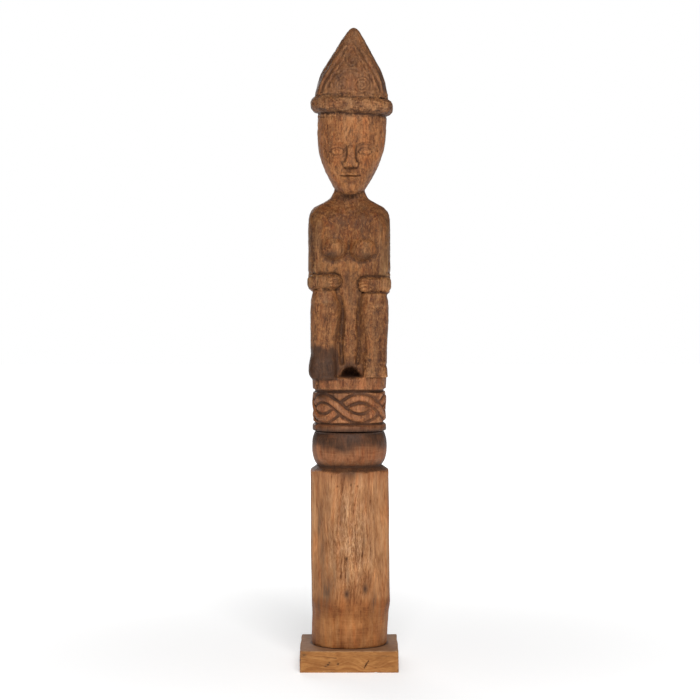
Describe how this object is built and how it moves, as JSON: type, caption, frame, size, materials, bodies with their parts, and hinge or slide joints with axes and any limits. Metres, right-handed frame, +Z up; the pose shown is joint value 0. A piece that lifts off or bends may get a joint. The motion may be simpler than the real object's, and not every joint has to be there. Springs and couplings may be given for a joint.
{
  "type": "carved ancestor figure",
  "caption": "Tall free-standing wooden carving: a seated ancestor figure in a pointed hat on a knotwork capital and eight-sided post, fixed to a flat plinth block.",
  "frame": {"origin": "centre of the plinth block's underside", "axes": "+Z up along the carving, from the plinth to the tip of the hat; the figure looks along -Y; +X is its left"},
  "size_m": [0.152, 0.15, 1],
  "materials": {
    "carved_wood": "matt, waxed and worn, with dark stains in the carving",
    "plinth_wood": "matt, rough-sawn",
    "dowel_wood": "bare beech",
    "screw_steel": "zinc plated",
    "washer_steel": "zinc plated"
  },
  "bodies": {
    "root": {"carved_trunk": "carved_wood", "plinth_block": "plinth_wood", "centre_dowel": "dowel_wood", "coach_screw_1": "screw_steel", "coach_screw_2": "screw_steel", "coach_screw_3": "screw_steel", "coach_screw_4": "screw_steel", "screw_washer_1": "washer_steel", "screw_washer_2": "washer_steel", "screw_washer_3": "washer_steel", "screw_washer_4": "washer_steel"}
  },
  "joints": []
}
